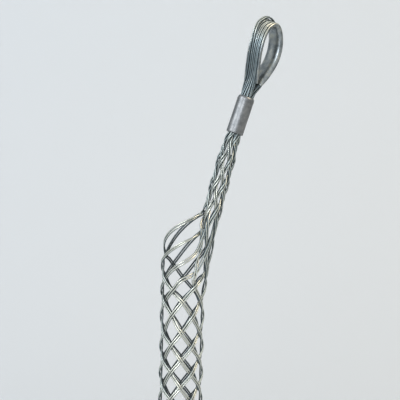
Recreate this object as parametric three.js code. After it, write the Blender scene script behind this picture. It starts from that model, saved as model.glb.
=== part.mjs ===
// Side-pull wire mesh cable grip, in millimetres, +Z up along the gripped cable.
// Twelve galvanised wires make the whole grip. Each starts in the pressed ferrule, turns round the
// thimble, comes back down through the ferrule, spirals down the mesh beside its twin, turns at the tail
// and spirals back up the other way into the ferrule. Twins lie side by side, and six double strands of
// each hand are plaited one over, one under. Below the ferrule the plait is a narrow hollow neck. At the
// mouth one diamond of the plait is pulled wide open and lets the cable out, so the eye stands off to +X.
// Origin: centre of the open tail end, on the cable's axis.
import * as THREE from "three";

// Driving dimensions
const CABLE_DIAMETER = 30; // the cable that the sleeve is drawn on
const WIRE_DIAMETER = 1.4;
const WIRE_SIDES = 5;
const WIRE_CORNERS = 1.48; // across the corners of the five-sided section that stands for the round wire
const CLEARANCE = 0.3; // between neighbouring wires
const WEAVE = 0.95; // how far a strand lies out from, or in from, the middle of the plait at a crossing
const STRANDS = 6; // double strands of each hand
const LEVEL_PITCH = 11.1; // height from one row of crossings to the next
const MOUTH_ANGLE = 150; // where the mouth's lowest crossing lies round the cable, counted from +X
const SLEEVE_LIFT = 2; // how far over the mouth's reference height row 0 would lie at even pitch
// How far the sleeve's rows from row 0 on are drawn up or down from the even pitch by the pull of the neck
const ROW_SHIFTS = [-4, 1, 0.5, 1.5, 4, 3, 0.5, 0];
const SLEEVE_LEVELS = 18; // rows of crossings from the mouth to the tail
const NECK_LEVELS = 7; // rows of crossings from the ferrule to the mouth
const TAIL_BEND = 0.3; // how far below the last row of crossings, in rows, the tail bends begin

const FERRULE_LENGTH = 32;
const FERRULE_WALL = 1.3;
const FERRULE_SHOULDER = 3; // height over which the wall rounds off at the upper end
const FERRULE_CHAMFER = 0.35; // at the lower end's outer edge
const FERRULE_SIDES = 30;
const FERRULE_TILT = 17.4; // degrees from the cable's axis, towards +X
const FERRULE_OFFSET = 40.4; // from the cable's axis to the centre of the ferrule's lower end
const FERRULE_RISE = 102.1; // from the mouth's low point to the same centre
const MESH_END_REACH = 9; // how far the mesh's cut ends reach up into the ferrule
const EYE_END_REACH = 12; // how far the eye's cut ends reach down into the ferrule
const RING_STEP = 0.955; // from the ferrule's inner ring of wires to its outer one, in wire spacings

const EYE_TURN = 45; // degrees that the plane of the eye is turned about the ferrule's axis
const EYE_BOW = 2.3; // how far the eye bows outwards halfway up
const GROOVE_PITCH = 1.95; // between neighbouring wires across the thimble's groove
const GROOVE_MARGIN = 0.9; // between the outermost wires and the groove's sides
const CORNER_LIFT = 0.5; // how much higher the outermost wires sit, in the groove's round corners
const THIMBLE_WALL = 1.3;
const THIMBLE_DEPTH = 4.8;
const THIMBLE_CORNER = 4.1; // outer corner radius of the channel
// Half of the eye's inner outline, from the thimble's tip to the crown: half width, height over the ferrule
const EYE_OUTLINE = [
  [0.6, 13], [1.3, 16], [3, 22], [5.3, 29], [7, 35],
  [7.9, 42], [7.6, 48.5], [6.1, 54.4], [3.4, 58.9], [0, 60.9],
];
// How far the wires stand off at the crown: the nearest, the middle and the farthest third of each layer
const INNER_LAYER_SLACK = [0, 0.5, 3.6];
const OUTER_LAYER_SLACK = [0.1, 0.8, 4];
// Where the bent channel and the wires in it have their stations, as shares of the outline up to the crown
const EYE_STATIONS = [0.2, 0.32, 0.44, 0.55, 0.64, 0.72, 0.79, 0.85, 0.9, 0.95];

// The neck, row of crossings by row: its height over the mouth's low point and its centre's offset from the
// cable's axis as shares of the ferrule's, and the half widths of the ring on which the strands lie.
const NECK_ROWS = [
  { level: -7, rise: 0.976, offset: 0.98, halfX: 4.1, halfY: 4.1 },
  { level: -6, rise: 0.874, offset: 0.899, halfX: 4.9, halfY: 4.9 },
  { level: -5, rise: 0.771, offset: 0.832, halfX: 5.7, halfY: 5.7 },
  { level: -3, rise: 0.571, offset: 0.703, halfX: 6.2, halfY: 6.4 },
  { level: -1, rise: 0.367, offset: 0.564, halfX: 6.9, halfY: 7.6 },
  { level: 0, rise: 0.228, offset: 0.453, halfX: 8.2, halfY: 9.5 },
  { level: 1, rise: 0.05, offset: 0.361, halfX: 8.3, halfY: 8.9 },
  { level: 2, rise: -0.13, offset: 0.21, halfX: 12.2, halfY: 10.4 },
  { level: 3, rise: -0.25, offset: 0.032, halfX: 17, halfY: 17 },
];
const SLEEVE_FROM = 4; // the row at which the whole neck has joined the sleeve
const REGULAR_FROM = 6; // the row from which the sleeve's wires lie on the plain spiral
const SINK_LAG = 2.5; // how late the strands sink to the sleeve while they sweep round the cable

const LAY_STEP = 2.6; // distance between a wire's points while the wires are laid
const ROUNDS = 220; // rounds in which the wires push each other apart
const KEPT_ERROR = 0.34; // how far a laid wire may stray where its points are thinned
const SPARE = 0.1; // extra room between the wires at the first laying, and always round the cable
const PAIR_CELL = 15; // side of the cells in which near pairs of segments are looked for
const PAIR_ROUNDS = 12; // rounds between two such searches
const PLAN_PULL = 0.995; // share of its way from the plan that a point keeps at each round

// Sizes that follow
const wireRadius = WIRE_DIAMETER / 2;
const wireSpacing = WIRE_DIAMETER + CLEARANCE;
const sleeveRadius = CABLE_DIAMETER / 2 + CLEARANCE + wireRadius + WEAVE;
const boreLimit = CABLE_DIAMETER / 2 + CLEARANCE + wireRadius;
const siteAngle = 360 / STRANDS;
const levelAngle = siteAngle / 2;
const lowestLevel = SLEEVE_LEVELS + (1 + TAIL_BEND) / 2;
const mouthHeight = lowestLevel * LEVEL_PITCH + wireSpacing / 2 + wireRadius - SLEEVE_LIFT;
const innerRing = wireSpacing / 2 / Math.sin(Math.PI / STRANDS / 2);
const outerRing = innerRing + RING_STEP * wireSpacing;
const ferruleBore = outerRing + wireRadius + CLEARANCE;
const crownHeight = EYE_OUTLINE[EYE_OUTLINE.length - 1][1];
const thimbleWidth = (STRANDS - 1) * GROOVE_PITCH + WIRE_DIAMETER + 2 * (GROOVE_MARGIN + THIMBLE_WALL);

const radians = THREE.MathUtils.degToRad;
const clamp = THREE.MathUtils.clamp;
const vector = (x, y, z) => new THREE.Vector3(x, y, z);
const smooth = (t) => t * t * (3 - 2 * t);
const mix = (a, b, t) => a + (b - a) * t;

// The ferrule's frame: its axis, the eye's sideways direction and the way through the eye
const ferruleAxis = vector(Math.sin(radians(FERRULE_TILT)), 0, Math.cos(radians(FERRULE_TILT)));
const ferruleFoot = vector(FERRULE_OFFSET, 0, mouthHeight + FERRULE_RISE);
const ferruleTop = ferruleFoot.clone().addScaledVector(ferruleAxis, FERRULE_LENGTH);
const eyeSide = vector(0, 1, 0).cross(ferruleAxis).applyAxisAngle(ferruleAxis, radians(EYE_TURN));
const eyeThrough = ferruleAxis.clone().cross(eyeSide);
const outwards = vector(0, 1, 0).cross(ferruleAxis);

function inFerrule(side, through, up) {
  return ferruleTop.clone()
    .addScaledVector(eyeSide, side)
    .addScaledVector(eyeThrough, through)
    .addScaledVector(ferruleAxis, up)
    .addScaledVector(outwards, EYE_BOW * Math.sin(Math.PI * clamp(up / crownHeight, 0, 1)));
}

const remainder = (value, whole) => (value % whole + whole) % whole;

// The ferrule's two rings have a place at every half site, the inner ring's halfway between the outer's.
// The angle is counted from the eye's sideways direction.
const ringStart = remainder(MOUTH_ANGLE + levelAngle * NECK_LEVELS - EYE_TURN, levelAngle);

function slot(ring, place, up) {
  const angle = radians(ringStart + place * levelAngle);
  return inFerrule(ring * Math.cos(angle), ring * Math.sin(angle), up);
}

function curveAt(curve, level) {
  let low = 0, high = 1;
  for (let i = 0; i < 24; i += 1) {
    const middle = (low + high) / 2;
    if (curve.getPoint(middle).x < level) low = middle;
    else high = middle;
  }
  return curve.getPoint((low + high) / 2).y;
}

const shiftCurve = new THREE.CatmullRomCurve3(
  ROW_SHIFTS.map((shift, row) => vector(row, shift, 0)), false, "centripetal");

function sleeveHeight(level) {
  return mouthHeight + SLEEVE_LIFT - level * LEVEL_PITCH + curveAt(shiftCurve, level);
}

// The ring of the plait at a level: its height over the mouth, offset, half widths and tilt
const neckCurves = ["rise", "offset", "halfX", "halfY"].map((key) => new THREE.CatmullRomCurve3(
  [...NECK_ROWS.map((row) => ({
    ...row, rise: row.rise * FERRULE_RISE, offset: row.offset * FERRULE_OFFSET,
  })), {
    level: SLEEVE_FROM, rise: sleeveHeight(SLEEVE_FROM) - mouthHeight, offset: 0,
    halfX: sleeveRadius, halfY: sleeveRadius,
  }].map((row) => vector(row.level, row[key], 0)), false, "centripetal"));

function neckRing(level) {
  const [rise, offset, halfX, halfY] = neckCurves.map((curve) => curveAt(curve, level));
  const tilt = radians(FERRULE_TILT) * clamp((1 - level) / (1 + NECK_LEVELS), 0, 1);
  return { rise, offset, halfX, halfY, tilt };
}

// A point of the plait at a level and a nominal angle (degrees, 0 at +X), lifted out of its surface.
// On the neck and on the sleeve the angle is the true one. Over the mouth the strands are gathered to the
// neck, and between the neck and the sleeve they sweep round the cable.
function plaitPoint(level, angle, lift) {
  const fromMouth = remainder(angle - MOUTH_ANGLE, 360);
  const window = (Math.abs(fromMouth - 180) - (180 - levelAngle * level)) / siteAngle;
  const share = level >= SLEEVE_FROM ? 1 : smooth(clamp(window + 1, 0, 1));
  const a = radians(fromMouth + MOUTH_ANGLE - 360);
  if (share === 1) {
    const radius = sleeveRadius + lift;
    return vector(radius * Math.cos(a), radius * Math.sin(a), sleeveHeight(level));
  }
  const ring = neckRing(level);
  const out = vector(Math.cos(a) * Math.cos(ring.tilt), Math.sin(a), -Math.cos(a) * Math.sin(ring.tilt));
  const point = vector(ring.offset, 0, mouthHeight + ring.rise)
    .add(vector(ring.halfX * Math.cos(a) * Math.cos(ring.tilt), ring.halfY * Math.sin(a),
      -ring.halfX * Math.cos(a) * Math.sin(ring.tilt)))
    .addScaledVector(out, lift);
  if (share === 0) return point;
  const sweep = mix(Math.atan2(point.y, point.x), a, share);
  const radius = mix(Math.hypot(point.x, point.y), sleeveRadius + lift, Math.min(1, share * 2.2));
  return vector(radius * Math.cos(sweep), radius * Math.sin(sweep),
    mix(point.z, sleeveHeight(level), share ** SINK_LAG));
}

// Over and under: the first hand lies outside on odd rows, the second hand on even rows
function weaveLift(hand, level) {
  return -hand * Math.cos(Math.PI * level) * clamp((lowestLevel - level) / 0.5, 0, 1) * WEAVE;
}

function strandPoint(hand, site, level) {
  const angle = MOUTH_ANGLE + site * siteAngle - hand * levelAngle * level;
  const lift = weaveLift(hand, level);
  const at = plaitPoint(level, angle, lift);
  return { at, out: plaitPoint(level, angle, lift + 1).sub(at).normalize() };
}

const levelsFrom = (from, to, perLevel) => Array.from(
  { length: Math.round((to - from) * perLevel) + 1 }, (_, i) => from + i / perLevel);

// The tail bend that joins a strand of the first hand to its neighbour of the second hand
function tailBend(site, back) {
  const bend = SLEEVE_LEVELS + TAIL_BEND, corner = SLEEVE_LEVELS + 1;
  const start = MOUTH_ANGLE + site * siteAngle - levelAngle * bend;
  const end = MOUTH_ANGLE + back * siteAngle + levelAngle * bend;
  const near = end + Math.round((start - end) / 360) * 360;
  const turn = [];
  for (let i = 0; i <= 6; i += 1) {
    const t = i / 6;
    const level = mix(corner, bend, (1 - t) ** 2 + t ** 2);
    const angle = mix(start, near, t);
    const lift = weaveLift(t < 0.5 ? 1 : -1, level);
    const at = plaitPoint(level, angle, lift);
    turn.push({ at, out: plaitPoint(level, angle, lift + 1).sub(at).normalize() });
  }
  return turn;
}

// The wire of a double strand on one side of the strand's middle line
function beside(line, side) {
  return line.map(({ at, out }, i) => {
    const ahead = line[Math.min(i + 1, line.length - 1)].at;
    const behind = line[Math.max(i - 1, 0)].at;
    const across = ahead.clone().sub(behind).normalize().cross(out).normalize();
    return at.clone().addScaledVector(across, side * wireSpacing / 2);
  });
}

// The eye's outline at a distance outside its inner face, from one foot over the crown to the other
const eyeHalf = EYE_OUTLINE.map(([half, up]) => vector(half, up, 0));
const eyeCurve = new THREE.CatmullRomCurve3(
  [...eyeHalf, ...eyeHalf.slice(0, -1).reverse().map((p) => vector(-p.x, p.y, 0))], false, "centripetal");

function eyePoint(u, away) {
  const at = eyeCurve.getPoint(u), along = eyeCurve.getTangent(u);
  return [at.x + along.y * away, at.y - along.x * away];
}

const eyeStations = [...EYE_STATIONS, 1, ...EYE_STATIONS.map((share) => 2 - share).reverse()]
  .map((share) => share / 2);

// A wire's place in the groove; the farther wires stand off at the crown
function groovePoint(u, layer, column, rising) {
  const slack = (layer ? OUTER_LAYER_SLACK : INNER_LAYER_SLACK)[Math.floor(column * 3 / STRANDS)];
  const loose = slack * Math.sin(Math.PI * clamp((u - 0.22) / 0.56, 0, 1)) ** 2;
  const lift = column === 0 || column === STRANDS - 1 ? CORNER_LIFT : 0;
  const bed = THIMBLE_WALL + CLEARANCE + wireRadius;
  const [side, up] = eyePoint(u, bed + layer * wireSpacing + lift + loose);
  return inFerrule(rising * side, (column - (STRANDS - 1) / 2) * GROOVE_PITCH, up);
}

const evenly = (points) => {
  const curve = new THREE.CatmullRomCurve3(points, false, "centripetal");
  curve.arcLengthDivisions = points.length * 8;
  return curve.getSpacedPoints(Math.round(curve.getLength() / LAY_STEP));
};

// Every wire on its planned way: from the eye's cut end to the groove, the groove, on to the sleeve, the
// plain spirals with the tail bend, and from the sleeve to the mesh's cut end. Wires whose long leg lies
// on the left of the eye run in the groove's outer layer, and the others, which step inwards inside the
// ferrule, in the inner layer.
function plannedWires() {
  const wires = [];
  for (let site = 0; site < STRANDS; site += 1) {
    for (const side of [1, -1]) {
      const back = site - 1 - SLEEVE_LEVELS;
      const dense = levelsFrom(-NECK_LEVELS, REGULAR_FROM, 12);
      const down = beside(dense.map((level) => strandPoint(1, site, level)), side);
      const up = beside(dense.map((level) => strandPoint(-1, back, level)).reverse(), side);
      const rows = levelsFrom(REGULAR_FROM, SLEEVE_LEVELS, 1);
      const plain = beside([
        ...rows.map((level) => strandPoint(1, site, level)), ...tailBend(site, back),
        ...rows.map((level) => strandPoint(-1, back, level)).reverse()], side);
      wires.push({ name: `wire_${site + 1}${side > 0 ? "a" : "b"}`, site, back, side, down, up, plain });
    }
  }
  // Inside the ferrule the long legs lie in the outer ring and the mesh's cut ends in the inner ring. The
  // ring is halved across the eye: each side's legs have their cut ends mirrored on the other side.
  const leftFrom = Math.floor(STRANDS / 2);
  for (const wire of wires) {
    const start = MOUTH_ANGLE - EYE_TURN - ringStart, turn = levelAngle * NECK_LEVELS;
    wire.long = Math.round((start + wire.site * siteAngle + turn) / levelAngle) + (wire.side > 0 ? 0 : 1);
    wire.mesh = Math.round((start + wire.back * siteAngle - turn) / levelAngle) + wire.side / 2;
    wire.rising = remainder(wire.long - leftFrom, 2 * STRANDS) < STRANDS ? -1 : 1;
  }
  const height = (wire) => Math.sin(radians(ringStart + wire.long * levelAngle));
  for (const rising of [-1, 1]) {
    const group = wires.filter((wire) => wire.rising === rising);
    group.sort((a, b) => height(a) - height(b)).forEach((wire, column) => {
      const outer = rising < 0;
      const ring = outer ? outerRing : innerRing;
      const top = wire.long + (outer ? 0 : 0.5);
      const cut = 2 * leftFrom - 1 - wire.long + (outer ? 0 : 0.5);
      const stepUp = outer ? [] : [slot(innerRing, top, 1 - EYE_END_REACH),
        slot(outerRing, wire.long, 1.5 + MESH_END_REACH - FERRULE_LENGTH)];
      const place = (u) => groovePoint(u, outer ? 1 : 0, column, rising);
      wire.groove = eyeStations.map((u) => place(1 - u));
      wire.start = evenly([
        slot(ring, cut, -EYE_END_REACH), slot(ring, cut, 0), place(0.96), wire.groove[0]]);
      wire.first = evenly([
        wire.groove[wire.groove.length - 1], place(0.04), slot(ring, top, 0), ...stepUp,
        slot(outerRing, wire.long, -FERRULE_LENGTH), ...wire.down.slice(4)]);
      wire.last = evenly([...wire.up.slice(0, -4), slot(innerRing, wire.mesh, -FERRULE_LENGTH),
        slot(innerRing, wire.mesh, MESH_END_REACH - FERRULE_LENGTH)]);
    });
  }
  return wires;
}

// Closest approach of two segments: shares along both and the vector between the two nearest points
function nearest(p, q, r, s) {
  const d1 = q.clone().sub(p), d2 = s.clone().sub(r), between = p.clone().sub(r);
  const a = d1.dot(d1), e = d2.dot(d2), f = d2.dot(between), c = d1.dot(between), b = d1.dot(d2);
  const spread = a * e - b * b;
  let first = spread > 1e-9 ? clamp((b * f - c * e) / spread, 0, 1) : 0.5;
  let second = (b * first + f) / e;
  if (second < 0 || second > 1) {
    second = clamp(second, 0, 1);
    first = clamp((b * second - c) / a, 0, 1);
  }
  return { first, second, apart: between.addScaledVector(d1, first).addScaledVector(d2, -second) };
}

// Lays the wires: every round evens out how far each point has moved from its plan, pushes wires that
// lie too close apart, and keeps them off the cable and inside the ferrule. The sleeve and the groove
// hold still.
function layWires(wires, spacing) {
  const beads = [];
  for (const wire of wires) {
    const bead = (fixed) => (at) => ({ at, plan: at.clone(), fixed });
    wire.beads = [
      ...wire.start.map(bead(false)), ...wire.groove.slice(1).map(bead(true)),
      ...wire.first.slice(1).map(bead(false)), ...wire.plain.slice(1, -1).map(bead(true)),
      ...wire.last.map(bead(false)),
    ];
    wire.beads.forEach((bead, i) => { bead.wire = wire; bead.index = i; beads.push(bead); });
    wire.ends = [0, wire.start.length - 1, wire.beads.length - 1];
    for (const i of wire.ends) wire.beads[i].fixed = true;
  }
  const segments = beads.filter((bead) => bead.wire.beads[bead.index + 1])
    .map((bead) => [bead, bead.wire.beads[bead.index + 1]]);
  const keyOf = (p) => [p.x, p.y, p.z].map((v) => Math.floor(v / PAIR_CELL)).join();
  let pairs = [];
  const findPairs = () => {
    const cells = new Map();
    segments.forEach((segment, i) => {
      const key = keyOf(segment[0].at);
      if (!cells.has(key)) cells.set(key, []);
      cells.get(key).push(i);
    });
    pairs = [];
    segments.forEach(([p, q], i) => {
      const reach = p.at.distanceTo(q.at) / 2 + spacing + 1;
      const middle = p.at.clone().add(q.at).multiplyScalar(0.5);
      for (const dx of [-1, 0, 1]) for (const dy of [-1, 0, 1]) for (const dz of [-1, 0, 1]) {
        const away = vector(dx * PAIR_CELL, dy * PAIR_CELL, dz * PAIR_CELL);
        const near = cells.get(keyOf(p.at.clone().add(away))) ?? [];
        for (const j of near) {
          const [r, t] = segments[j];
          if (j <= i || (p.fixed && q.fixed && r.fixed && t.fixed)) continue;
          if (p.wire === r.wire && Math.abs(p.index - r.index) < 4) continue;
          const other = r.at.clone().add(t.at).multiplyScalar(0.5);
          if (middle.distanceTo(other) < reach + r.at.distanceTo(t.at) / 2) pairs.push([p, q, r, t]);
        }
      }
    });
  };
  for (let round = 0; round < ROUNDS; round += 1) {
    if (round % PAIR_ROUNDS === 0) findPairs();
    for (const wire of wires) {
      const moved = wire.beads.map((bead) => bead.at.clone().sub(bead.plan));
      wire.beads.forEach((bead, i) => {
        if (bead.fixed) return;
        const even = moved[i - 1].clone().add(moved[i + 1]).multiplyScalar(0.5);
        bead.at.copy(bead.plan).add(moved[i].clone().lerp(even, 0.5).multiplyScalar(PLAN_PULL));
      });
    }
    for (const [p, q, r, t] of pairs) {
      const { first, second, apart } = nearest(p.at, q.at, r.at, t.at);
      const distance = apart.length();
      if (distance >= spacing || distance < 1e-6) continue;
      const push = apart.multiplyScalar(0.5 * (spacing - distance) / distance);
      if (!p.fixed) p.at.addScaledVector(push, 1 - first);
      if (!q.fixed) q.at.addScaledVector(push, first);
      if (!r.fixed) r.at.addScaledVector(push, second - 1);
      if (!t.fixed) t.at.addScaledVector(push, -second);
    }
    for (const bead of beads) {
      if (bead.fixed) continue;
      const { at } = bead;
      const radius = Math.hypot(at.x, at.y);
      if (radius < boreLimit + SPARE) {
        at.x *= (boreLimit + SPARE) / radius;
        at.y *= (boreLimit + SPARE) / radius;
      }
      const foot = at.clone().sub(ferruleTop);
      const up = foot.dot(ferruleAxis);
      foot.addScaledVector(ferruleAxis, -up);
      if (up < 1 && up > -FERRULE_LENGTH - 1 && foot.length() > outerRing) {
        at.addScaledVector(foot, outerRing / foot.length() - 1);
      }
    }
  }
}

// Drops the points that a stretch can do without
function thinned(points) {
  if (points.length < 3) return points;
  const first = points[0], last = points[points.length - 1];
  const chord = new THREE.Line3(first, last);
  let worst = 0, at = 0;
  points.forEach((p, i) => {
    const off = chord.closestPointToPoint(p, true, vector(0, 0, 0)).distanceTo(p);
    if (off > worst) { worst = off; at = i; }
  });
  if (worst < KEPT_ERROR) return [first, last];
  return [...thinned(points.slice(0, at + 1)).slice(0, -1), ...thinned(points.slice(at))];
}

// A way along given points, straight from one to the next, mitred where they meet
class MitredPath extends THREE.Curve {
  constructor(points, outward) {
    super();
    this.points = points;
    this.outward = outward;
  }

  index(u) {
    return Math.round(u * (this.points.length - 1));
  }

  getPointAt(u) {
    return this.points[this.index(u)].clone();
  }

  getTangentAt(u) {
    const i = this.index(u), here = this.points[i];
    const tangent = vector(0, 0, 0);
    if (this.points[i + 1]) tangent.add(this.points[i + 1].clone().sub(here).normalize());
    if (this.points[i - 1]) tangent.add(here.clone().sub(this.points[i - 1]).normalize());
    return tangent.normalize();
  }

  computeFrenetFrames(segments, closed) {
    if (!this.outward) return super.computeFrenetFrames(segments, closed);
    const tangents = this.points.map((_, i) => this.getTangentAt(i / segments));
    const binormals = tangents.map(() => this.outward.clone());
    const normals = tangents.map((tangent) => this.outward.clone().cross(tangent));
    return { tangents, normals, binormals };
  }
}

function finish(color, roughness, metalness) {
  return new THREE.MeshStandardMaterial({ color, roughness, metalness });
}

const wireFinish = finish("#7e8c8c", 0.42, 0.85);
const ferruleFinish = finish("#8a8a86", 0.34, 0.9);
const thimbleFinish = finish("#757b78", 0.4, 0.85);

const group = new THREE.Group();
group.name = "cable_pulling_grip";

function add(name, geometry, material) {
  const mesh = new THREE.Mesh(geometry, material);
  mesh.name = name;
  group.add(mesh);
}

// Wires: laid with many points, thinned, and laid again as they will be made
const wires = plannedWires();
layWires(wires, wireSpacing + SPARE);
for (const wire of wires) for (const run of ["start", "first", "last"]) wire[run] = thinned(wire[run]);
layWires(wires, wireSpacing);
const section = new THREE.Shape(Array.from({ length: WIRE_SIDES }, (_, i) => new THREE.Vector2(
  WIRE_CORNERS / 2, 0).rotateAround(new THREE.Vector2(0, 0), 2 * Math.PI * i / WIRE_SIDES)));
for (const { name, beads } of wires) {
  const path = new MitredPath(beads.map((bead) => bead.at));
  add(name, new THREE.ExtrudeGeometry(section, { steps: beads.length - 1, extrudePath: path }), wireFinish);
}

// Ferrule: a pressed tube with a rounded upper shoulder
const ferruleRadius = ferruleBore + FERRULE_WALL;
const profile = [
  [ferruleBore, -FERRULE_LENGTH], [ferruleRadius - FERRULE_CHAMFER, -FERRULE_LENGTH],
  [ferruleRadius, FERRULE_CHAMFER - FERRULE_LENGTH],
];
for (let i = 0; i <= 5; i += 1) {
  const a = Math.PI / 2 * i / 5;
  profile.push([ferruleBore + FERRULE_WALL * Math.cos(a), FERRULE_SHOULDER * (Math.sin(a) - 1)]);
}
profile.push([ferruleBore, -FERRULE_LENGTH]);
const ferrule = new THREE.LatheGeometry(profile.map(([r, z]) => new THREE.Vector2(r, z)), FERRULE_SIDES);
ferrule.rotateX(Math.PI / 2).rotateY(radians(FERRULE_TILT));
ferrule.translate(ferruleTop.x, ferruleTop.y, ferruleTop.z);
add("ferrule", ferrule, ferruleFinish);

// Thimble: a round-cornered channel, open outwards, bent along the eye's outline
const half = thimbleWidth / 2, inner = THIMBLE_CORNER - THIMBLE_WALL;
const channel = new THREE.Shape();
channel.moveTo(THIMBLE_DEPTH, -half);
channel.lineTo(THIMBLE_CORNER, -half);
channel.quadraticCurveTo(0, -half, 0, -half + THIMBLE_CORNER);
channel.lineTo(0, half - THIMBLE_CORNER);
channel.quadraticCurveTo(0, half, THIMBLE_CORNER, half);
channel.lineTo(THIMBLE_DEPTH, half);
channel.lineTo(THIMBLE_DEPTH, half - THIMBLE_WALL);
channel.lineTo(THIMBLE_WALL + inner, half - THIMBLE_WALL);
channel.quadraticCurveTo(THIMBLE_WALL, half - THIMBLE_WALL, THIMBLE_WALL, half - THIMBLE_WALL - inner);
channel.lineTo(THIMBLE_WALL, -half + THIMBLE_WALL + inner);
channel.quadraticCurveTo(THIMBLE_WALL, -half + THIMBLE_WALL, THIMBLE_WALL + inner, -half + THIMBLE_WALL);
channel.lineTo(THIMBLE_DEPTH, -half + THIMBLE_WALL);
const bent = [0, 0.05, ...eyeStations, 0.95, 1].map((u) => {
  const [side, up] = eyePoint(u, 0);
  return inFerrule(side, 0, up);
});
add("thimble", new THREE.ExtrudeGeometry(channel, {
  steps: bent.length - 1, curveSegments: 4, extrudePath: new MitredPath(bent, eyeThrough),
}), thimbleFinish);

export default group;
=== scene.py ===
"""Side-pull wire mesh pulling grip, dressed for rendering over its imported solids, in metres."""
import math

import bpy
import numpy as np
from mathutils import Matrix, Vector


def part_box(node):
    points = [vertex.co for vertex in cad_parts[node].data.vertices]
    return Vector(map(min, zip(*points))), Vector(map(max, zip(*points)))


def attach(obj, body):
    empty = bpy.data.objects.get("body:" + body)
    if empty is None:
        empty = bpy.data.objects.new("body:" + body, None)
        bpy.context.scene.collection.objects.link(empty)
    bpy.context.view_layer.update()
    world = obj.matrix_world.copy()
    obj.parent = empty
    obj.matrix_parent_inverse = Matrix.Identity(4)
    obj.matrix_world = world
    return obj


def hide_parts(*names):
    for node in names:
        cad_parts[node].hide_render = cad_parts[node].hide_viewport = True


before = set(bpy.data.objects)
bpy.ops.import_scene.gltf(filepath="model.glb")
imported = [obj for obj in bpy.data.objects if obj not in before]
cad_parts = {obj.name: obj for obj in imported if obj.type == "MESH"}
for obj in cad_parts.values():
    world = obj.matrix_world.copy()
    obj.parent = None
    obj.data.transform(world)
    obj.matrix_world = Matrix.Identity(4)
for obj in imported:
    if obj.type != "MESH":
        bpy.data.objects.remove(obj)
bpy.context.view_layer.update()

# Camera. The grip is seen level from its front with its eye to the right, from far enough back that the
# mesh's front and rear are drawn at nearly one size. The sleeve's axis leans 1.2 degrees to the right.
VIEW_WIDTH = 0.3333
VIEW_CENTRE = (0.0129, 0.2525)
CAMERA_DISTANCE = 1.25
AXIS_LEAN = math.radians(1.22)

camera_data = bpy.data.cameras.new("camera")
camera_data.sensor_width = 36.0
camera_data.lens = 36.0 * CAMERA_DISTANCE / VIEW_WIDTH
camera_data.clip_start = 0.05
camera = bpy.data.objects.new("camera", camera_data)
camera.location = (VIEW_CENTRE[0], -CAMERA_DISTANCE, VIEW_CENTRE[1])
camera.rotation_euler = (math.pi / 2, -AXIS_LEAN, 0.0)
bpy.context.collection.objects.link(camera)
bpy.context.scene.camera = camera
bpy.context.scene.view_settings.view_transform = "Standard"


# Wires. Each of the twelve is a strand of nineteen thin galvanised wires, so its surface has twelve rounded
# ridges that turn slowly along it. It follows the middle line of its solid: out of the ferrule, round the
# thimble, back through the ferrule, down the plait, round the tail and up again.
WIRE_RADIUS = 0.00070
RIDGES = 12
GROOVE_FILL = 0.9
LAY_LENGTH = 0.0145
RING_STEP = 0.0009
SAMPLES_PER_RIDGE = 3
SOLID_SIDES = 5
CURVE_PARTS = 16
SLICES = 60
EYE_MIDDLE = 0.383
# Levels up the grip and the share of painted highlight, pale cream, on the wires' outward side at each
HIGHLIGHT_LEVELS = (0.215, 0.300, 0.345, 0.380, 0.398)
HIGHLIGHT_SHARES = (1.0, 0.84, 0.5, 0.5, 1.1)
WIRE_ZINC = "#8C9A9D"
WIRE_ZINC_PALE = "#AFB7B5"
WIRE_ZINC_DARK = "#76848A"
# Painted highlight on the outward side and painted shade on the inward side
WIRE_PAINTED_HIGHLIGHT = "#F2F0DE"
WIRE_PAINTED_SHADE = "#4B5253"
# Painted shade in the grooves of the lay
WIRE_GROOVE_SHADE = "#3A4142"
WIRE_MOTTLE_SCALE = 260.0
WIRE_GRAIN_SCALE = 2600.0
WIRE_GRAIN_HEIGHT = 0.00003


def linear(colour):
    """An sRGB hex colour as linear red, green, blue and alpha."""
    part = np.array([int(colour[i:i + 2], 16) for i in (1, 3, 5)]) / 255
    part = np.where(part <= 0.04045, part / 12.92, ((part + 0.055) / 1.055) ** 2.4)
    return (*part.tolist(), 1.0)


def node(tree, kind, settings=None, values=None, links=None):
    """Adds a node, sets its own properties and the values of its inputs, and links inputs to outputs."""
    added = tree.nodes.new(kind)
    for key, value in (settings or {}).items():
        setattr(added, key, value)
    for key, value in (values or {}).items():
        added.inputs[key].default_value = value
    for key, output in (links or {}).items():
        tree.links.new(output, added.inputs[key])
    return added


def ramp(tree, fac, stops):
    """A colour ramp with the given places and colours, or shares from 0 to 1 as greys."""
    added = node(tree, "ShaderNodeValToRGB", links={"Fac": fac})
    while len(added.color_ramp.elements) < len(stops):
        added.color_ramp.elements.new(0.5)
    for element, (place, colour) in zip(added.color_ramp.elements, stops):
        element.position = place
        element.color = linear(colour) if isinstance(colour, str) else (colour, colour, colour, 1.0)
    return added


def new_material(name):
    """An empty material with its principled shader joined to the output."""
    material = bpy.data.materials.new(name)
    material.use_nodes = True
    tree = material.node_tree
    tree.nodes.clear()
    shader = tree.nodes.new("ShaderNodeBsdfPrincipled")
    node(tree, "ShaderNodeOutputMaterial", links={"Surface": shader.outputs["BSDF"]})
    return material, tree, shader


def join_shader(tree, shader, metallic, links):
    """Sets how metallic the principled shader is and links its inputs to outputs."""
    shader.inputs["Metallic"].default_value = metallic
    for key, output in links.items():
        tree.links.new(output, shader.inputs[key])


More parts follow.
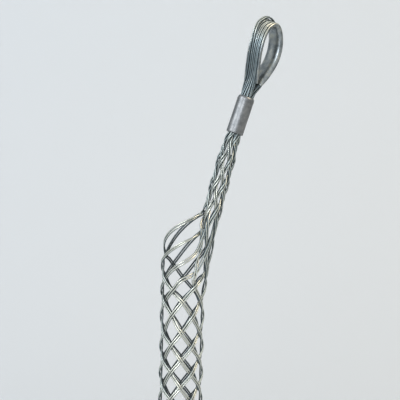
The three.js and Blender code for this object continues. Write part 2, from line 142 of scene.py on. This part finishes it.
def middle_line(name):
    """The middle line of a solid swept along a path. Its corners are merged. From the ring of corners at one
    end, each further ring is made of the corners that share an edge with the last, and the middle line
    joins the rings' centres."""
    mesh = bpy.data.objects[name].data
    corners = np.empty(len(mesh.vertices) * 3)
    mesh.vertices.foreach_get("co", corners)
    mesh.calc_loop_triangles()
    faces = np.empty(len(mesh.loop_triangles) * 3, dtype=np.int64)
    mesh.loop_triangles.foreach_get("vertices", faces)
    corners = corners.reshape(-1, 3)
    keys, merged = np.unique(np.round(corners * 1e6).astype(np.int64), axis=0, return_inverse=True)
    points = keys / 1e6
    faces = merged.reshape(-1)[faces].reshape(-1, 3)
    touching = np.zeros((len(points), len(points)), dtype=np.float32)
    for a, b in ((0, 1), (1, 2), (2, 0)):
        touching[faces[:, a], faces[:, b]] = touching[faces[:, b], faces[:, a]] = 1.0

    def rings_from(start):
        seen = start.copy()
        rings = [start]
        while True:
            following = (touching @ rings[-1].astype(np.float32) > 0) & ~seen
            if not following.any():
                return rings
            seen |= following
            rings.append(following)

    seed = np.zeros(len(points), dtype=bool)
    seed[0] = True
    far = points[np.flatnonzero(rings_from(seed)[-1])[0]]
    start = np.zeros(len(points), dtype=bool)
    start[np.argsort(np.linalg.norm(points - far, axis=1))[:SOLID_SIDES]] = True
    return np.array([points[ring].mean(axis=0) for ring in rings_from(start)])


def smooth_line(points, step):
    """Points at an even distance on a smooth curve. Between two given points the curve is a cubic whose slope
    at each is the mean of the slopes before and after it, each weighted by the other's length."""
    lengths = np.linalg.norm(np.diff(points, axis=0), axis=1)
    slopes = np.diff(points, axis=0) / lengths[:, None]
    middle = ((slopes[1:] * lengths[:-1, None] + slopes[:-1] * lengths[1:, None])
              / (lengths[1:] + lengths[:-1])[:, None])
    tangents = np.vstack([slopes[:1], middle, slopes[-1:]])
    t = np.arange(CURVE_PARTS)[None, :, None] / CURVE_PARTS
    first, second = points[:-1, None], points[1:, None]
    leaving = tangents[:-1, None] * lengths[:, None, None]
    arriving = tangents[1:, None] * lengths[:, None, None]
    curve = ((2 * t ** 3 - 3 * t ** 2 + 1) * first + (t ** 3 - 2 * t ** 2 + t) * leaving
             + (3 * t ** 2 - 2 * t ** 3) * second + (t ** 3 - t ** 2) * arriving).reshape(-1, 3)
    curve = np.vstack([curve, points[-1:]])
    along = np.concatenate([[0.0], np.cumsum(np.linalg.norm(np.diff(curve, axis=0), axis=1))])
    places = np.linspace(0.0, along[-1], int(round(along[-1] / step)) + 1)
    return np.stack([np.interp(places, along, curve[:, i]) for i in range(3)], axis=1), places


def middle_of_grip(points, level):
    """The middle of the whole grip at each level: halfway between its least and greatest X and Y there, from
    all wires' points in equal slices, joined by straight lines."""
    slices = np.linspace(points[:, 2].min(), points[:, 2].max(), SLICES + 1)
    inside = np.digitize(points[:, 2], slices[1:-1])
    middles = np.array([(points[inside == i].min(axis=0) + points[inside == i].max(axis=0)) / 2
                        for i in range(SLICES)])
    return np.stack([np.interp(level, middles[:, 2], middles[:, 0]),
                     np.interp(level, middles[:, 2], middles[:, 1]), level], axis=1)


def strand_surface(path, along, middle):
    """A strand's surface as rings round its path. Each ring starts in the direction away from the middle of
    the grip and is turned by one whole turn per lay length. Its radius is that of the outer edge of a ring of
    round wires that touch: the distance to a wire's centre times the cosine of the angle off it, plus the
    square root of the wire's radius squared less the same distance times the sine, squared. The grooves so
    made are filled by a set share of their depth, so they are shallower than real ones, and painted shade
    shows them. With the rings come each point's depth in its groove, from 0 to 1, which sets that painted
    shade, and its side: the cosine of its angle from the outward direction, times the share of painted
    highlight at that level, which sets the painted highlight outwards and painted shade inwards."""
    tangent = np.gradient(path, axis=0)
    tangent /= np.linalg.norm(tangent, axis=1)[:, None]
    outward = path - middle
    outward -= tangent * (outward * tangent).sum(axis=1)[:, None]
    outward /= np.linalg.norm(outward, axis=1)[:, None]
    across = np.cross(tangent, outward)
    samples = RIDGES * SAMPLES_PER_RIDGE
    angle = np.arange(samples) * 2 * math.pi / samples
    off = (angle + math.pi / RIDGES) % (2 * math.pi / RIDGES) - math.pi / RIDGES
    centre = WIRE_RADIUS / (1 + math.sin(math.pi / RIDGES))
    thin = WIRE_RADIUS - centre
    radius = centre * np.cos(off) + np.sqrt(np.maximum(thin ** 2 - (centre * np.sin(off)) ** 2, 0.0))
    depth = (WIRE_RADIUS - radius) / (WIRE_RADIUS - radius.min())
    radius = radius + GROOVE_FILL * (WIRE_RADIUS - radius)
    turned = angle[None, :] + 2 * math.pi * along[:, None] / LAY_LENGTH
    rings = (path[:, None] + radius[None, :, None] * (np.cos(turned)[..., None] * outward[:, None]
             + np.sin(turned)[..., None] * across[:, None]))
    # The share of painted highlight at each level
    rubbed = np.interp(path[:, 2], HIGHLIGHT_LEVELS, HIGHLIGHT_SHARES)
    return rings, np.broadcast_to(depth, turned.shape), rubbed[:, None] * np.cos(turned)


def add_grid(name, rings, material, ends=True, **values):
    """A piece from rings of points: neighbouring rings are joined by four-sided faces. The first and last ring
    are closed by a face each, or else joined to each other. Values for each point are kept as attributes of
    the given names."""
    count, around = rings.shape[:2]
    index = np.arange(count * around).reshape(count, around)
    here = index[:-1] if ends else index
    following = np.roll(index, -1, axis=0)[:len(here)]
    quads = np.stack([here, np.roll(here, -1, axis=1), np.roll(following, -1, axis=1), following], axis=-1)
    faces = quads.reshape(-1, 4).tolist()
    if ends:
        faces += [index[0, ::-1].tolist(), index[-1].tolist()]
    mesh = bpy.data.meshes.new(name)
    mesh.from_pydata(rings.reshape(-1, 3).tolist(), [], faces)
    for key, value in values.items():
        attribute = mesh.attributes.new(key, "FLOAT", "POINT")
        attribute.data.foreach_set("value", np.ascontiguousarray(value, dtype=np.float32).ravel())
    mesh.polygons.foreach_set("use_smooth", np.ones(len(mesh.polygons), dtype=bool))
    mesh.materials.append(material)
    mesh.update()
    piece = bpy.data.objects.new(name, mesh)
    bpy.context.collection.objects.link(piece)
    return piece


# Galvanised steel wire, hot-dipped and drawn: a grey zinc skin, mottled pale and dark over a few millimetres,
# smoother and with a painted highlight, pale cream, on the side that faces outwards, less of it in the
# thimble's groove, and with painted shade on the side that faces inwards and in the grooves of the lay
wire_zinc, tree, shader = new_material("galvanised_wire")
place = node(tree, "ShaderNodeTexCoord").outputs["Object"]
mottle = node(tree, "ShaderNodeTexNoise", values={"Scale": WIRE_MOTTLE_SCALE, "Detail": 4.0, "Roughness": 0.6},
              links={"Vector": place})
grain = node(tree, "ShaderNodeTexNoise", values={"Scale": WIRE_GRAIN_SCALE, "Detail": 2.0},
             links={"Vector": place})
zinc = ramp(tree, mottle.outputs["Fac"], [(0.3, WIRE_ZINC_DARK), (0.52, WIRE_ZINC), (0.74, WIRE_ZINC_PALE)])
side = node(tree, "ShaderNodeAttribute", {"attribute_name": "side"})
# Painted highlight, pale cream, on the side that faces outwards, and painted shade, dark grey, on the side
# that faces inwards
rubbed = ramp(tree, side.outputs["Fac"], [(0.66, 0.0), (0.96, 0.85)])
inner = ramp(tree, side.outputs["Fac"], [(0.0, 0.9), (0.55, 0.0)])
highlighted = node(tree, "ShaderNodeMix", {"data_type": "RGBA"}, {"B": linear(WIRE_PAINTED_HIGHLIGHT)},
            {"Factor": rubbed.outputs["Color"], "A": zinc.outputs["Color"]})
shaded = node(tree, "ShaderNodeMix", {"data_type": "RGBA"}, {"B": linear(WIRE_PAINTED_SHADE)},
               {"Factor": inner.outputs["Color"], "A": highlighted.outputs["Result"]})
groove = node(tree, "ShaderNodeAttribute", {"attribute_name": "depth"})
# Painted shade in the grooves of the lay, deeper towards their bottoms
groove_shade = ramp(tree, groove.outputs["Fac"], [(0.4, 0.0), (1.0, 0.38)])
colour = node(tree, "ShaderNodeMix", {"data_type": "RGBA"}, {"B": linear(WIRE_GROOVE_SHADE)},
              {"Factor": groove_shade.outputs["Color"], "A": shaded.outputs["Result"]})
rough = node(tree, "ShaderNodeMapRange",
             values={"From Min": 0.0, "From Max": 0.9, "To Min": 0.5, "To Max": 0.26},
             links={"Value": side.outputs["Fac"]})
bump = node(tree, "ShaderNodeBump", values={"Strength": 0.15, "Distance": WIRE_GRAIN_HEIGHT},
            links={"Height": grain.outputs["Fac"]})
join_shader(tree, shader, 0.7, {"Base Color": colour.outputs["Result"], "Roughness": rough.outputs["Result"],
                                "Normal": bump.outputs["Normal"]})

wire_names = sorted(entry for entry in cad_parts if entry.startswith("wire_"))
wire_paths = {name: smooth_line(middle_line(name), RING_STEP) for name in wire_names}
all_points = np.vstack([path for path, along in wire_paths.values()])
# Above the middle of the eye, outwards is away from that middle, so that the crown's wires take the painted
# highlight too
for name, (path, along) in wire_paths.items():
    middle = middle_of_grip(all_points, np.minimum(path[:, 2], EYE_MIDDLE))
    rings, depth, side = strand_surface(path, along, middle)
    rings = np.clip(rings, *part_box(name))
    piece = add_grid(f"strand_{name[5:]}", rings, wire_zinc, depth=depth, side=side)
    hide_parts(name)
    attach(piece, "root")


# Ferrule. A short steel tube pressed onto all the wires at once, with a rounded upper shoulder and a squared
# lower end. The press leaves faint flats along it.
FERRULE_LENGTH = 0.032
FERRULE_RADIUS = 0.0072
FERRULE_BORE = 0.0059
FERRULE_SHOULDER = 0.003
FERRULE_EDGE = 0.00035
FERRULE_FLATS = 0.00005
FERRULE_FLATS_FADE = 0.006
FERRULE_SPARE = 0.00001
FERRULE_BORE_TOP = 0.0006
FERRULE_POINTS = 96
FERRULE_TILT = math.radians(17.4)
FERRULE_FOOT = np.array([0.0404, 0.0, 0.308665])
FERRULE_STEEL = "#7C7E7F"
FERRULE_STEEL_DARK = "#676A6B"
FERRULE_STEEL_PALE = "#949594"
SCRATCH_SCALE = 2200.0
SCRATCH_STRETCH = 0.06
SCRATCH_HEIGHT = 0.00003
CLOUD_SCALE = 180.0

ferrule_axis = np.array([math.sin(FERRULE_TILT), 0.0, math.cos(FERRULE_TILT)])
ferrule_top = FERRULE_FOOT + FERRULE_LENGTH * ferrule_axis
tilt_side = np.array([math.cos(FERRULE_TILT), 0.0, -math.sin(FERRULE_TILT)])


def ferrule_surface():
    """The tube's closed section carried round its axis. The section goes up the outside, over the shoulder as
    a quarter of an ellipse, down the bore and out over the lower end with its corner broken. Outside, the
    radius is less by a small amount times the square of the cosine of three times the angle, the flats,
    which fade out towards both ends. A hundredth of a millimetre keeps the lip's points off the bore's."""
    outer, edge = FERRULE_RADIUS, FERRULE_EDGE
    rise = np.linspace(0.0, 1.0, 28)
    quarter = np.linspace(0.0, math.pi / 2, 12)
    low = np.linspace(0.0, math.pi / 2, 5)
    section = np.vstack([
        np.stack([outer - edge + edge * np.sin(low), -FERRULE_LENGTH + edge - edge * np.cos(low)], axis=1),
        np.stack([np.full(26, outer), -FERRULE_LENGTH + edge
                  + rise[1:-1] * (FERRULE_LENGTH - edge - FERRULE_SHOULDER)], axis=1),
        np.stack([FERRULE_BORE + FERRULE_SPARE + (outer - FERRULE_BORE) * np.cos(quarter),
                  FERRULE_SHOULDER * (np.sin(quarter) - 1)], axis=1),
        np.stack([np.full(10, FERRULE_BORE), np.linspace(-FERRULE_BORE_TOP, -FERRULE_LENGTH, 10)], axis=1)])
    angle = np.linspace(0.0, 2 * math.pi, FERRULE_POINTS, endpoint=False)
    from_end = np.minimum(section[:, 1] + FERRULE_LENGTH, -section[:, 1])
    middle = np.clip(from_end / FERRULE_FLATS_FADE, 0.0, 1.0)
    outside = section[:, 0] > (outer + FERRULE_BORE) / 2
    flats = FERRULE_FLATS * middle[:, None] * outside[:, None] * np.cos(3 * angle[None, :]) ** 2
    radius = section[:, :1] - flats
    return (ferrule_top + radius[..., None] * (np.cos(angle)[None, :, None] * tilt_side
            + np.sin(angle)[None, :, None] * np.array([0.0, 1.0, 0.0]))
            + section[:, 1][:, None, None] * ferrule_axis)


# Plain steel with a light zinc plate, drawn as tube and pressed: satin, with fine scratches along its length
# and a slightly warm grey
ferrule_steel, tree, shader = new_material("pressed_plated_steel")
place = node(tree, "ShaderNodeTexCoord").outputs["Object"]
along_tube = node(tree, "ShaderNodeMapping",
                  values={"Rotation": (0.0, -FERRULE_TILT, 0.0), "Scale": (1, 1, SCRATCH_STRETCH)},
                  links={"Vector": place})
scratch = node(tree, "ShaderNodeTexNoise", values={"Scale": SCRATCH_SCALE, "Detail": 3.0},
               links={"Vector": along_tube.outputs["Vector"]})
cloud = node(tree, "ShaderNodeTexNoise", values={"Scale": CLOUD_SCALE, "Detail": 5.0, "Roughness": 0.65},
             links={"Vector": place})
tone = ramp(tree, cloud.outputs["Fac"],
            [(0.32, FERRULE_STEEL_DARK), (0.5, FERRULE_STEEL), (0.72, FERRULE_STEEL_PALE)])
rough = node(tree, "ShaderNodeMapRange", values={"To Min": 0.34, "To Max": 0.5},
             links={"Value": scratch.outputs["Fac"]})
bump = node(tree, "ShaderNodeBump", values={"Strength": 0.2, "Distance": SCRATCH_HEIGHT},
            links={"Height": scratch.outputs["Fac"]})
join_shader(tree, shader, 0.95, {"Base Color": tone.outputs["Color"], "Roughness": rough.outputs["Result"],
                                 "Normal": bump.outputs["Normal"]})

piece = add_grid("crimped_ferrule", ferrule_surface(), ferrule_steel, ends=False)
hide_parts("ferrule")
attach(piece, "root")


# Thimble. A strip of steel pressed to a round-bottomed channel, bent into a tear drop with its tips almost
# meeting, and galvanised after. It carries the wires in its groove and keeps the eye open.
THIMBLE_WIDTH = 0.01555
THIMBLE_WALL = 0.0013
THIMBLE_DEPTH = 0.0048
THIMBLE_ROUNDNESS = 2.5
THIMBLE_STEP = 0.0008
# How far below the rims' tops the painted highlight reaches, as a share of the channel's depth
HIGHLIGHT_RIM_SHARE = 0.2
TIP_TAPER = 0.4
TIP_LENGTH = 0.012
EYE_TURN = math.radians(45)
EYE_BOW = 0.0023
EYE_HALF = np.array([[0.6, 13], [1.3, 16], [3, 22], [5.3, 29], [7, 35], [7.9, 42], [7.6, 48.5], [6.1, 54.4],
                     [3.4, 58.9], [0, 60.9]]) / 1000
THIMBLE_ZINC = "#8D9395"
THIMBLE_ZINC_PALE = "#B4B4A8"
THIMBLE_ZINC_DARK = "#666C6E"
# A painted highlight, pale cream, along the rims near the crown
THIMBLE_PAINTED_HIGHLIGHT = "#D9D8C6"
SPANGLE_SCALE = 150.0
PIT_SCALE = 1500.0
PIT_HEIGHT = 0.00006

eye_side = math.cos(EYE_TURN) * tilt_side + math.sin(EYE_TURN) * np.array([0.0, 1.0, 0.0])
eye_through = np.cross(ferrule_axis, eye_side)


def thimble_surface():
    """The channel's closed section carried along the eye's outline. The outline is a smooth curve through the
    given half and its mirror image. The section's height is laid off square to the outline, outwards, and
    its width along the direction through the eye. Its inner side is half of a rounded rectangle: the width
    and the height, each as a share of its greatest value and raised to a set power, add up to one. The rims
    are half circles. Near its two tips the channel grows shallower by the square of what is left of a set
    length. The whole eye bows outwards by the sine of the height, one half wave up to the crown.
    With the points comes the share of painted highlight at each: on the rims, from nothing at the eye's widest
    place to fully at its crown."""
    outline = np.vstack([EYE_HALF, EYE_HALF[-2::-1] * (-1.0, 1.0)])
    flat = np.column_stack([outline, np.zeros(len(outline))])
    path, along = smooth_line(flat, THIMBLE_STEP)
    tangent = np.gradient(path, axis=0)
    tangent /= np.linalg.norm(tangent, axis=1)[:, None]
    normal = np.column_stack([tangent[:, 1], -tangent[:, 0]])
    half, wall = THIMBLE_WIDTH / 2, THIMBLE_WALL
    turn = np.linspace(0.0, math.pi / 2, 25)[1:]
    rim, power = wall / 2, 2 / THIMBLE_ROUNDNESS
    across, down = np.sin(turn) ** power, 1 - np.cos(turn) ** power
    flank = THIMBLE_DEPTH - rim
    right = np.vstack([
        np.column_stack([flank * down, half * across]),
        np.column_stack([flank + rim * np.sin(2 * turn[:-1]), half - rim + rim * np.cos(2 * turn[:-1])]),
        np.column_stack([wall + (flank - wall) * down, (half - wall) * across])[::-1]])
    section = np.vstack([right, right[::-1] * (1.0, -1.0)])[::-1]
    height, width = section[:, 0], section[:, 1]
    from_tip = np.minimum(along, along[-1] - along) / TIP_LENGTH
    deep = 1 - TIP_TAPER * np.clip(1 - from_tip, 0.0, 1.0) ** 2
    flat_points = path[:, None, :2] + (deep[:, None] * height)[..., None] * normal[:, None]
    widest, crown = EYE_HALF[EYE_HALF[:, 0].argmax(), 1], EYE_HALF[-1, 1]
    bow = EYE_BOW * np.sin(math.pi * np.clip(flat_points[..., 1:] / crown, 0.0, 1.0))
    points = (ferrule_top + flat_points[..., :1] * eye_side + flat_points[..., 1:] * ferrule_axis
              + bow * tilt_side + width[None, :, None] * eye_through)
    # The painted highlight: on the rims, growing from the eye's widest place to its crown
    on_rim = np.clip((height / THIMBLE_DEPTH - 1) / HIGHLIGHT_RIM_SHARE + 1, 0.0, 1.0)
    near_crown = np.clip((flat_points[..., 1] - widest) / (crown - widest), 0.0, 1.0)
    return points, on_rim[None, :] * near_crown


# Hot-dip galvanised steel: a smooth zinc skin with a faint spangle of pale and dark patches 3 to 8 mm wide,
# with a painted highlight, pale cream, along the rims near the crown
thimble_zinc, tree, shader = new_material("hot_dip_galvanised_steel")
place = node(tree, "ShaderNodeTexCoord").outputs["Object"]
spangle = node(tree, "ShaderNodeTexNoise", values={"Scale": SPANGLE_SCALE, "Detail": 6.0, "Roughness": 0.62},
               links={"Vector": place})
pits = node(tree, "ShaderNodeTexNoise", values={"Scale": PIT_SCALE, "Detail": 3.0}, links={"Vector": place})
zinc = ramp(tree, spangle.outputs["Fac"],
            [(0.34, THIMBLE_ZINC_DARK), (0.5, THIMBLE_ZINC), (0.7, THIMBLE_ZINC_PALE)])
# Painted highlight along the rims near the crown
rub = node(tree, "ShaderNodeAttribute", {"attribute_name": "rub"})
rubbed = ramp(tree, rub.outputs["Fac"], [(0.0, 0.0), (0.7, 0.7)])
tone = node(tree, "ShaderNodeMix", {"data_type": "RGBA"}, {"B": linear(THIMBLE_PAINTED_HIGHLIGHT)},
            {"Factor": rubbed.outputs["Color"], "A": zinc.outputs["Color"]})
rough = node(tree, "ShaderNodeMapRange", values={"To Min": 0.22, "To Max": 0.46},
             links={"Value": spangle.outputs["Fac"]})
bump = node(tree, "ShaderNodeBump", values={"Strength": 0.2, "Distance": PIT_HEIGHT},
            links={"Height": pits.outputs["Fac"]})
join_shader(tree, shader, 0.95, {"Base Color": tone.outputs["Result"], "Roughness": rough.outputs["Result"],
                                 "Normal": bump.outputs["Normal"]})

points, rub = thimble_surface()
piece = add_grid("galvanised_thimble", points, thimble_zinc, rub=rub)
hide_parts("thimble")
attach(piece, "root")


# Studio. A pale floor that turns up into a backdrop in one sweep, a lamp above on the left, a warmer one on
# the right, a weaker one in front, and even light from all round.
FLOOR_LEVEL = -0.0006
BACKDROP_BEHIND = 0.9
BACKDROP_RADIUS = 0.5
SWEEP_REACH = 4.0
LAMP_TARGET = (0.02, 0.0, 0.25)
LAMP_SIZE = 0.6
ROOM_STRENGTH = 0.48
PAPER = "#DADFE3"
KEY_LIGHT = "#F4F8FF"
WARM_LIGHT = "#FFECD2"
ROOM_LIGHT = "#E4E9EB"
WALL = "#DCE1E4"


def sweep_surface():
    """The floor and backdrop: flat to the foot of the backdrop, a quarter circle, then upright, with the same
    line carried from left to right."""
    turn = np.linspace(0.0, math.pi / 2, 24)
    line = np.vstack([
        [[-SWEEP_REACH, 0.0]],
        np.column_stack([BACKDROP_BEHIND - BACKDROP_RADIUS + BACKDROP_RADIUS * np.sin(turn),
                         BACKDROP_RADIUS * (1 - np.cos(turn))]),
        [[BACKDROP_BEHIND, SWEEP_REACH]]])
    across = np.linspace(-SWEEP_REACH, SWEEP_REACH, 9)
    points = np.zeros((len(line), len(across), 3))
    points[..., 0] = across[None, :]
    points[..., 1] = line[:, :1]
    points[..., 2] = line[:, 1:] + FLOOR_LEVEL
    return points


# Matt paper, plain and pale, that can be seen through from behind, so that the grip's back can be looked at
paper, tree, shader = new_material("matt_paper")
shader.inputs["Roughness"].default_value = 0.9
shader.inputs["Base Color"].default_value = linear(PAPER)
clear = node(tree, "ShaderNodeBsdfTransparent")
behind = node(tree, "ShaderNodeNewGeometry")
seen = node(tree, "ShaderNodeMixShader",
            links={0: behind.outputs["Backfacing"], 1: shader.outputs["BSDF"], 2: clear.outputs["BSDF"]})
tree.links.new(seen.outputs["Shader"], tree.nodes["Material Output"].inputs["Surface"])

points = sweep_surface()
count, width = points.shape[:2]
index = np.arange(count * width).reshape(count, width)
quads = np.stack([index[:-1, :-1], index[:-1, 1:], index[1:, 1:], index[1:, :-1]], axis=-1).reshape(-1, 4)
mesh = bpy.data.meshes.new("sweep")
mesh.from_pydata(points.reshape(-1, 3).tolist(), [], quads.tolist())
mesh.polygons.foreach_set("use_smooth", np.ones(len(mesh.polygons), dtype=bool))
mesh.materials.append(paper)
sweep = bpy.data.objects.new("sweep", mesh)
bpy.context.collection.objects.link(sweep)


def add_lamp(name, place, power, colour):
    """A square area lamp that faces the grip."""
    data = bpy.data.lights.new(name, "AREA")
    data.shape = "SQUARE"
    data.size = LAMP_SIZE
    data.energy = power
    data.color = linear(colour)[:3]
    lamp = bpy.data.objects.new(name, data)
    toward = np.array(LAMP_TARGET) - np.array(place)
    lamp.location = place
    lamp.rotation_euler = (math.acos(-toward[2] / np.linalg.norm(toward)), 0.0,
                           math.atan2(toward[1], toward[0]) - math.pi / 2)
    bpy.context.collection.objects.link(lamp)


add_lamp("key", (-1.2, -0.75, 1.1), 12.0, KEY_LIGHT)
add_lamp("warm", (1.1, -0.6, 1.3), 14.0, WARM_LIGHT)
add_lamp("front", (-0.4, -1.45, 0.7), 9.0, KEY_LIGHT)

# The room's light is the same from all round. Where the camera looks past the paper it sees a pale wall, and
# so do reflections
world = bpy.data.worlds.new("studio")
bpy.context.scene.world = world
world.use_nodes = True
tree = world.node_tree
tree.nodes.clear()
room = node(tree, "ShaderNodeBackground", values={"Color": linear(ROOM_LIGHT), "Strength": ROOM_STRENGTH})
wall = node(tree, "ShaderNodeBackground", values={"Color": linear(WALL), "Strength": 1.0})
rays = node(tree, "ShaderNodeLightPath")
straight = node(tree, "ShaderNodeMath", {"operation": "MAXIMUM"},
                links={0: rays.outputs["Is Camera Ray"], 1: rays.outputs["Is Transmission Ray"]})
visible = node(tree, "ShaderNodeMath", {"operation": "MAXIMUM"},
               links={0: straight.outputs["Value"], 1: rays.outputs["Is Glossy Ray"]})
seen = node(tree, "ShaderNodeMixShader",
            links={0: visible.outputs["Value"], 1: room.outputs["Background"], 2: wall.outputs["Background"]})
node(tree, "ShaderNodeOutputWorld", links={"Surface": seen.outputs["Shader"]})
